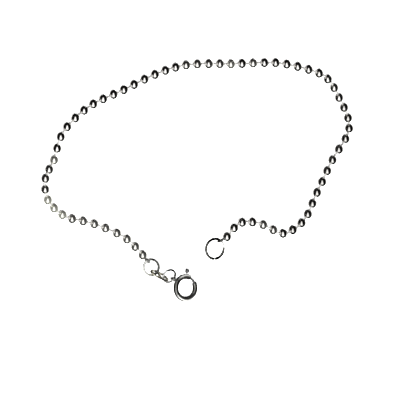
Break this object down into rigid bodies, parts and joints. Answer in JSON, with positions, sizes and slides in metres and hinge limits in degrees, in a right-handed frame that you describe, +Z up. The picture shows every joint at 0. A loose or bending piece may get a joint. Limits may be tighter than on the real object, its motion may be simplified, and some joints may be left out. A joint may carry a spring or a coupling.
{
  "type": "beaded chain bracelet",
  "caption": "Fine silver bracelet of small round beads on short wire links, with a spring ring clasp, jump rings and a small bare oval plate, lying open.",
  "frame": {"origin": "on the surface below the middle of the whole bracelet", "axes": "+X along the loop's length, from the clasp's side towards the side of the far jump ring; +Y from the gap between the ends towards the back of the loop; +Z up from the surface"},
  "size_m": [0.0798, 0.0528, 0.002],
  "materials": {
    "polished_silver": "polished silver",
    "plate_silver": "lightly worn silver",
    "clasp_silver": "polished silver",
    "trigger_silver": "drawn silver"
  },
  "bodies": {
    "bracelet": {"bead_chain": "polished_silver", "far_ring": "polished_silver", "near_ring": "polished_silver", "tag": "plate_silver", "link_ring": "polished_silver", "spring_ring": "clasp_silver"},
    "trigger": {"trigger": "trigger_silver"}
  },
  "joints": [
    {"name": "clasp_trigger", "type": "hinge", "parent": "bracelet", "child": "trigger", "pos_m": [-0.00296, -0.02342, 0.00057], "axis": [0, 0, 1], "range_deg": [0, 38], "stiffness_Nm_per_rad": 0.002, "springref_deg": -28.65}
  ]
}
